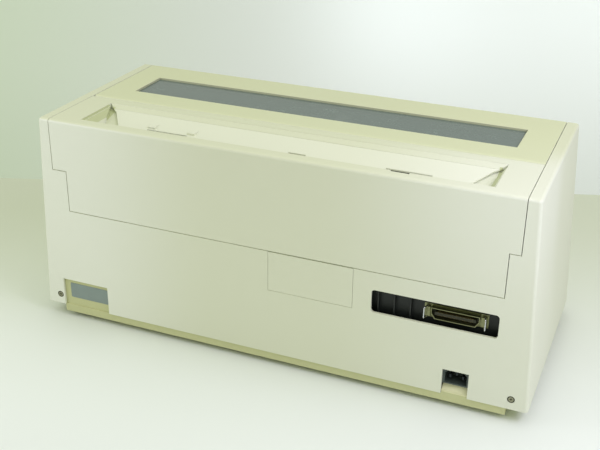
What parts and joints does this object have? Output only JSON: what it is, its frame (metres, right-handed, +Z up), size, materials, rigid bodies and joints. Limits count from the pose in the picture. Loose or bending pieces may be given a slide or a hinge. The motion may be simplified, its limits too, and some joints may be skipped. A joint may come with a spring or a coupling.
{
  "type": "dot matrix printer",
  "caption": "Wide-carriage dot matrix printer: off-white cabinet, hinged rear and top covers, paper pocket, smoked window, interface slot and mains inlet behind, working mechanism inside.",
  "frame": {"origin": "centre of the footprint, on the surface that the feet stand on", "axes": "+Z up, +Y towards the rear face with the sockets, +X towards the platen knob"},
  "size_m": [0.6, 0.264, 0.26],
  "materials": {
    "cabinet": "fine moulded texture, off-white",
    "pan": "fine moulded texture, cream",
    "guide": "smooth, off-white",
    "smoke": "clear smoked plastic",
    "rubber": "matte",
    "dark_plastic": "satin",
    "panel_grey": "satin",
    "key_cream": "satin",
    "lamp_green": "clear tinted",
    "lever_blue": "gloss",
    "nylon": "smooth, waxy",
    "steel": "ground",
    "zinc": "zinc-plated sheet",
    "screw_steel": "dull plated",
    "black_metal": "dark coated sheet",
    "motor_case": "dark grey",
    "socket_metal": "dull chromated",
    "socket_body": "dark brown moulding",
    "brass": "turned",
    "inlet_metal": "plated",
    "board": "coated laminate",
    "cap_sleeve": "shrink sleeve",
    "winding": "varnished laminations"
  },
  "bodies": {
    "chassis": {"base_pan": "pan", "housing": "cabinet", "rubber_feet": "rubber", "housing_screws": "screw_steel", "hinge_pins": "steel", "interface_plate": "black_metal", "socket_shell": "socket_metal", "socket_insert": "socket_body", "ac_inlet": "dark_plastic", "inlet_pins": "inlet_metal", "side_frame_left": "zinc", "side_frame_right": "zinc", "rear_tie": "zinc", "front_rail": "zinc", "guide_shafts": "steel", "platen_bushes": "nylon", "paper_pan": "black_metal", "idler_post": "steel", "feed_motor": "motor_case", "carriage_motor": "motor_case", "belt_brackets": "zinc", "drive_belt": "rubber", "main_board": "board", "filter_capacitors": "cap_sleeve", "transformer": "winding", "control_panel": "panel_grey", "indicator_lamps": "lamp_green"},
    "rear_cover": {"rear_cover": "cabinet", "guide_plate": "guide"},
    "top_cover": {"top_cover": "cabinet", "window": "smoke"},
    "option_cover": {"option_cover": "cabinet"},
    "socket_bail_left": {"socket_bail_left": "steel"},
    "socket_bail_right": {"socket_bail_right": "steel"},
    "platen": {"platen_roller": "rubber", "platen_shaft": "steel", "platen_gear": "nylon", "platen_knob": "dark_plastic"},
    "idler_gear": {"idler_gear": "nylon"},
    "feed_pinion": {"feed_pinion": "brass"},
    "tractor_drive": {"tractor_shaft": "steel", "tractor_gear": "nylon"},
    "tractor_left": {"tractor_left": "dark_plastic"},
    "tractor_right": {"tractor_right": "dark_plastic"},
    "pin_wheel_left": {"pin_wheel_left": "nylon"},
    "pin_wheel_right": {"pin_wheel_right": "nylon"},
    "tractor_lid_left": {"tractor_lid_left": "panel_grey"},
    "tractor_lid_right": {"tractor_lid_right": "panel_grey"},
    "paper_bail": {"paper_bail": "steel"},
    "bail_rollers": {"bail_rollers": "rubber"},
    "release_lever": {"release_lever": "lever_blue"},
    "carriage": {"carriage": "dark_plastic", "print_head": "motor_case"},
    "ribbon_cartridge": {"ribbon_cartridge": "dark_plastic"},
    "motor_pulley": {"motor_pulley": "brass"},
    "idler_pulley": {"idler_pulley": "brass"},
    "button_left": {"button_left": "key_cream"},
    "button_middle": {"button_middle": "key_cream"},
    "button_right": {"button_right": "key_cream"},
    "power_rocker": {"power_rocker": "dark_plastic"}
  },
  "joints": [
    {"name": "rear_cover_hinge", "type": "hinge", "parent": "chassis", "child": "rear_cover", "pos_m": [0, 0.0404, 0.256], "axis": [1, 0, 0], "range_deg": [0, 70]},
    {"name": "top_cover_hinge", "type": "hinge", "parent": "chassis", "child": "top_cover", "pos_m": [0, 0.0316, 0.256], "axis": [-1, 0, 0], "range_deg": [0, 75]},
    {"name": "option_cover_pull", "type": "slide", "parent": "chassis", "child": "option_cover", "axis": [0, 1, 0], "range_m": [0, 0.02]},
    {"name": "socket_bail_left_pivot", "type": "hinge", "parent": "chassis", "child": "socket_bail_left", "pos_m": [-0.183, 0.1232, 0.1105], "axis": [0, 0, 1], "range_deg": [-25, 40]},
    {"name": "socket_bail_right_pivot", "type": "hinge", "parent": "chassis", "child": "socket_bail_right", "pos_m": [-0.243, 0.1232, 0.1105], "axis": [0, 0, 1], "range_deg": [-40, 25]},
    {"name": "platen_spin", "type": "hinge", "parent": "chassis", "child": "platen", "pos_m": [0, -0.018, 0.192], "axis": [1, 0, 0], "continuous": true},
    {"name": "idler_spin", "type": "hinge", "parent": "chassis", "child": "idler_gear", "pos_m": [0.268, 0.02406, 0.18032], "axis": [1, 0, 0], "continuous": true},
    {"name": "pinion_spin", "type": "hinge", "parent": "chassis", "child": "feed_pinion", "pos_m": [0.268, 0.02406, 0.20947], "axis": [1, 0, 0], "continuous": true},
    {"name": "tractor_drive_spin", "type": "hinge", "parent": "chassis", "child": "tractor_drive", "pos_m": [0, 0.07238, 0.16689], "axis": [1, 0, 0], "continuous": true},
    {"name": "tractor_left_slide", "type": "slide", "parent": "chassis", "child": "tractor_left", "axis": [1, 0, 0], "range_m": [0, 0.1]},
    {"name": "tractor_right_slide", "type": "slide", "parent": "chassis", "child": "tractor_right", "axis": [-1, 0, 0], "range_m": [0, 0.1]},
    {"name": "pin_wheel_left_spin", "type": "hinge", "parent": "tractor_left", "child": "pin_wheel_left", "pos_m": [-0.19, 0.07238, 0.16689], "axis": [1, 0, 0], "continuous": true},
    {"name": "pin_wheel_right_spin", "type": "hinge", "parent": "tractor_right", "child": "pin_wheel_right", "pos_m": [0.19, 0.07238, 0.16689], "axis": [1, 0, 0], "continuous": true},
    {"name": "tractor_lid_left_hinge", "type": "hinge", "parent": "tractor_left", "child": "tractor_lid_left", "pos_m": [-0.2025, 0.10063, 0.16689], "axis": [0, 0, 1], "range_deg": [0, 100]},
    {"name": "tractor_lid_right_hinge", "type": "hinge", "parent": "tractor_right", "child": "tractor_lid_right", "pos_m": [0.2025, 0.10063, 0.16689], "axis": [0, 0, -1], "range_deg": [0, 100]},
    {"name": "paper_bail_pivot", "type": "hinge", "parent": "chassis", "child": "paper_bail", "pos_m": [0, -0.058, 0.203], "axis": [1, 0, 0], "range_deg": [0, 30]},
    {"name": "bail_roller_spin", "type": "hinge", "parent": "paper_bail", "child": "bail_rollers", "pos_m": [0, -0.03015, 0.21304], "axis": [1, 0, 0], "continuous": true},
    {"name": "release_lever_pivot", "type": "hinge", "parent": "chassis", "child": "release_lever", "pos_m": [-0.253, 0.01, 0.205], "axis": [1, 0, 0], "range_deg": [0, 25]},
    {"name": "carriage_travel", "type": "slide", "parent": "chassis", "child": "carriage", "axis": [1, 0, 0], "range_m": [0, 0.36]},
    {"name": "ribbon_lift", "type": "slide", "parent": "carriage", "child": "ribbon_cartridge", "axis": [0, 0, 1], "range_m": [0, 0.02]},
    {"name": "motor_pulley_spin", "type": "hinge", "parent": "chassis", "child": "motor_pulley", "pos_m": [-0.237, -0.079, 0.129], "axis": [0, 1, 0], "continuous": true},
    {"name": "idler_pulley_spin", "type": "hinge", "parent": "chassis", "child": "idler_pulley", "pos_m": [0.237, -0.079, 0.129], "axis": [0, 1, 0], "continuous": true},
    {"name": "button_left_press", "type": "slide", "parent": "chassis", "child": "button_left", "axis": [0, 0.9952, -0.0983], "range_m": [0, 0.0012], "stiffness_N_per_m": 400, "springref_m": -0.0005},
    {"name": "button_middle_press", "type": "slide", "parent": "chassis", "child": "button_middle", "axis": [0, 0.9952, -0.0983], "range_m": [0, 0.0012], "stiffness_N_per_m": 400, "springref_m": -0.0005},
    {"name": "button_right_press", "type": "slide", "parent": "chassis", "child": "button_right", "axis": [0, 0.9952, -0.0983], "range_m": [0, 0.0012], "stiffness_N_per_m": 400, "springref_m": -0.0005},
    {"name": "power_rocker_tilt", "type": "hinge", "parent": "chassis", "child": "power_rocker", "pos_m": [0.222, -0.10922, 0.18156], "axis": [1, 0, 0], "range_deg": [0, 12]}
  ],
  "couplings": [
    {"joint": "idler_spin", "follows": "platen_spin", "ratio": -1.175},
    {"joint": "pinion_spin", "follows": "platen_spin", "ratio": 2.6111},
    {"joint": "tractor_drive_spin", "follows": "platen_spin", "ratio": 0.78333},
    {"joint": "pin_wheel_left_spin", "follows": "platen_spin", "ratio": 0.78333},
    {"joint": "pin_wheel_right_spin", "follows": "platen_spin", "ratio": 0.78333},
    {"joint": "motor_pulley_spin", "follows": "carriage_travel", "rad_per_m": 125},
    {"joint": "idler_pulley_spin", "follows": "carriage_travel", "rad_per_m": 125}
  ]
}
